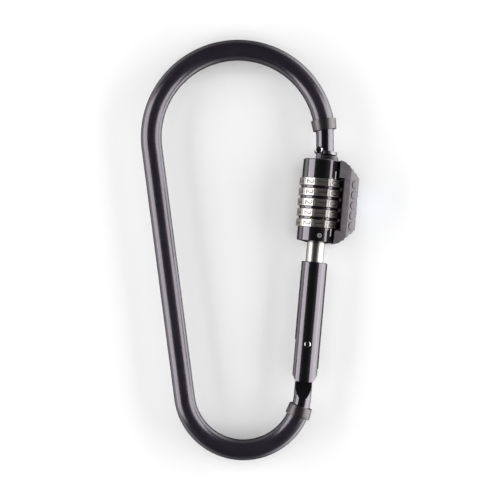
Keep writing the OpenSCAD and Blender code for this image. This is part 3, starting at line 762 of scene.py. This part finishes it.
@dataclass
class BumperCover:
    """The grained cover beside the dials, its pads with painted shade round them, and its badge. Sizes in
    millimetres.
    """

    reach: float = 20.8
    half: float = 12.5
    bevel: float = 5.1
    edge: float = 0.3
    pad_r: float = 2.1
    groove_depth: float = 0.6
    groove_proud: float = 0.06
    groove_in: float = 0.1
    groove_out: float = 0.17
    badge_r: float = 7.4
    badge_sunk: float = 0.8
    dome: float = 0.9

    def build(self) -> None:
        """Builds and dresses the cover, the painted shade round its pads and its badge."""
        finish_piece(refined("bumper_cover", self.edge), "cover_moulding", Finishes.COVER, "barrel",
                     replaces=["bumper_cover"])
        self.build_grooves()
        self.build_badge()

    def build_grooves(self) -> None:
        """Lays a dark ring of painted shade round each pad, partly sunk and wider on the side that faces the
        dials, for the shadow at the pad's edge.
        """
        # painted shade: a dark ring in the ink finish round each pad stands for the shadow at its edge
        inner, outer = self.pad_r - self.groove_in, self.pad_r + self.groove_out
        low, high = -self.groove_depth, self.groove_proud
        bm = bmesh.new()
        for joint in (j for j in frame["joints"] if j["name"].startswith("dial_")):
            height = (Vector(joint["pos_m"]) - gate.pivot).dot(gate.axis) / MM
            for side in (-1, 1):
                shade_ring = lathe(bm, [(inner, low), (outer, low), (outer, high), (inner, high)], 40)
                outward = Vector((1.0, float(side), 0.0)).normalized()
                across = Vector((0.0, 0.0, 1.0)).cross(outward)
                turn = Matrix((across, Vector((0.0, 0.0, 1.0)), outward)).transposed().to_4x4()
                centre = Vector((self.reach - self.bevel / 2, side * (self.half - self.bevel / 2), height))
                centre -= across * side * self.groove_out
                bmesh.ops.transform(bm, matrix=Matrix.Translation(centre) @ turn, verts=shade_ring)
        finish_piece(bm, "pad_painted_shade_rings", Finishes.INK, "barrel")

    def build_badge(self) -> None:
        """Turns the round domed badge."""
        low, high = gate.span("badge")
        parts = 10
        turns = [math.pi / 2 * k / parts for k in range(parts + 1)]
        dome = [(self.badge_r * math.cos(turn), self.dome * math.sin(turn)) for turn in turns]
        bm = bmesh.new()
        lathe(bm, [(0.0, -self.badge_sunk), (self.badge_r, -self.badge_sunk)] + dome, 96, closed=False)
        place = Matrix.Translation((self.reach, 0.0, (low + high) / 2)) @ Matrix.Rotation(math.pi / 2, 4, "Y")
        bmesh.ops.transform(bm, matrix=place, verts=bm.verts)
        finish_piece(bm, "badge_dome", Finishes.BADGE, "barrel", replaces=["badge"],
                     smooth=50)


# ---- studio ---------------------------------------------------------------------------


@dataclass
class Studio:
    """The pale floor, the soft lights and the camera. Sizes in metres."""

    pivot_in_view: tuple[float, float] = (0.03253, -0.05327)
    camera_height: float = 0.7
    view_width: float = 0.285
    sensor: float = 36.0
    panel_top: tuple[float, float] = (0.4, 0.38)
    panel_foot: tuple[float, float] = (0.62, 0.0)
    panel_length: float = 0.7
    panel_radiance: float = 3.7
    fill_size: float = 1.6
    fill_height: float = 1.3
    fill_power: float = 10.5
    glow_across: tuple[tuple[float, float], ...] = (
        (0.0, 1.3), (0.2, 0.8), (0.4, 0.35), (0.6, 0.35), (0.85, 3.2), (1.0, 3.6),
    )
    glow_up: tuple[tuple[float, float], ...] = (
        (0.0, 0.05), (0.13, 0.2), (0.25, 1.0), (0.5, 1.0), (0.56, 0.12), (1.0, 0.04),
    )
    floor_half: float = 3.0
    floor_gap: float = 0.0002

    @property
    def aim(self) -> Vector:
        """The point on the gate's plane that the camera looks straight down on."""
        return gate.pivot - Vector((*self.pivot_in_view, 0.0))

    def build(self) -> None:
        """Sets up the whole studio."""
        self.build_floor()
        self.build_world()
        for side in (-1, 1):
            self.build_panel(side)
        self.build_fill()
        self.build_camera()

    def build_floor(self) -> None:
        """Lays a plain pale floor under the object; it lights the object but doesn't mirror in it."""
        bm = bmesh.new()
        bmesh.ops.create_grid(bm, x_segments=1, y_segments=1, size=self.floor_half)
        mesh = bpy.data.meshes.new("floor")
        bm.to_mesh(mesh)
        bm.free()
        mesh.materials.append(Finishes.FLOOR.material())
        floor = bpy.data.objects.new("floor", mesh)
        floor.location.z = -self.floor_gap
        floor.visible_glossy = False
        bpy.context.scene.collection.objects.link(floor)

    def build_world(self) -> None:
        """Makes surroundings that are dark overhead, and pale at and below the horizon to the sides."""
        world = bpy.data.worlds.new("studio")
        world.use_nodes = True
        bpy.context.scene.world = world
        nodes, link = world.node_tree.nodes, world.node_tree.links.new
        where = nodes.new("ShaderNodeTexCoord")
        split = nodes.new("ShaderNodeSeparateXYZ")
        link(where.outputs["Generated"], split.inputs["Vector"])
        across = self.ramp(nodes, self.glow_across)
        height = self.ramp(nodes, self.glow_up)
        for axis, ramp in (("X", across), ("Z", height)):
            fit = nodes.new("ShaderNodeMapRange")
            fit.inputs["From Min"].default_value = -1.0
            link(split.outputs[axis], fit.inputs["Value"])
            link(fit.outputs["Result"], ramp.inputs["Fac"])
        product = nodes.new("ShaderNodeMixRGB")
        product.blend_type = "MULTIPLY"
        product.inputs["Fac"].default_value = 1.0
        link(across.outputs["Color"], product.inputs["Color1"])
        link(height.outputs["Color"], product.inputs["Color2"])
        link(product.outputs["Color"], nodes["Background"].inputs["Color"])

    def ramp(self, nodes: bpy.types.Nodes, stops: Sequence[tuple[float, float]]) -> bpy.types.Node:
        """A grey colour ramp.

        Args:
            nodes: The world's nodes.
            stops: Each stop's place and grey value.

        Returns:
            The ramp node.
        """
        ramp = nodes.new("ShaderNodeValToRGB")
        elements = ramp.color_ramp.elements
        while len(elements) < len(stops):
            elements.new(0.5)
        for element, (place, value) in zip(elements, stops):
            element.position = place
            element.color = (value, value, value, 1.0)
        return ramp

    def build_panel(self, side: int) -> None:
        """Stands a tall soft panel beside the object, leaning away from it at its foot.

        Args:
            side: -1 for the left, 1 for the right.
        """
        top = Vector((side * self.panel_top[0], 0.0, self.panel_top[1]))
        foot = Vector((side * self.panel_foot[0], 0.0, self.panel_foot[1]))
        up = (top - foot).normalized()
        along = Vector((0.0, 1.0, 0.0))
        facing = up.cross(along) * (1 if side < 0 else -1)
        if facing.x * side > 0:
            facing.negate()
        light = bpy.data.lights.new(f"panel_{side}", "AREA")
        light.shape = "RECTANGLE"
        light.size, light.size_y = (top - foot).length, self.panel_length
        light.energy = self.panel_radiance * math.pi * light.size * light.size_y
        panel = bpy.data.objects.new(light.name, light)
        back = -facing
        turn = Matrix((along.cross(back), along, back)).transposed().to_4x4()
        middle = (top + foot) / 2 + Vector((self.aim.x, self.aim.y, 0.0))
        panel.matrix_world = Matrix.Translation(middle) @ turn
        panel.visible_camera = False
        bpy.context.scene.collection.objects.link(panel)

    def build_fill(self) -> None:
        """Hangs a wide, soft fill light overhead, which doesn't show in the gloss."""
        light = bpy.data.lights.new("fill", "AREA")
        light.shape = "SQUARE"
        light.size = self.fill_size
        light.energy = self.fill_power
        fill = bpy.data.objects.new("fill", light)
        fill.location = (self.aim.x, self.aim.y, self.fill_height)
        fill.visible_glossy = False
        fill.visible_camera = False
        bpy.context.scene.collection.objects.link(fill)

    def build_camera(self) -> None:
        """Looks straight down on the middle of the view."""
        data = bpy.data.cameras.new("camera")
        data.sensor_width = self.sensor
        data.lens = self.sensor * self.camera_height / self.view_width
        camera = bpy.data.objects.new("camera", data)
        camera.location = self.aim + Vector((0.0, 0.0, self.camera_height))
        bpy.context.scene.collection.objects.link(camera)
        bpy.context.scene.camera = camera
        bpy.context.scene.view_settings.view_transform = "Standard"


def main() -> None:
    """Builds the studio and every sub-assembly in order."""
    logging.basicConfig(level=logging.INFO, format="%(message)s")
    Studio().build()
    ShackleLoop().build()
    SwingGate().build()
    CodeBarrel().build()
    for index in range(1, 1 + sum(joint["name"].startswith("dial_") for joint in frame["joints"])):
        CodeDial(index).build()
    BumperCover().build()


if __name__ == "__main__":
    main()
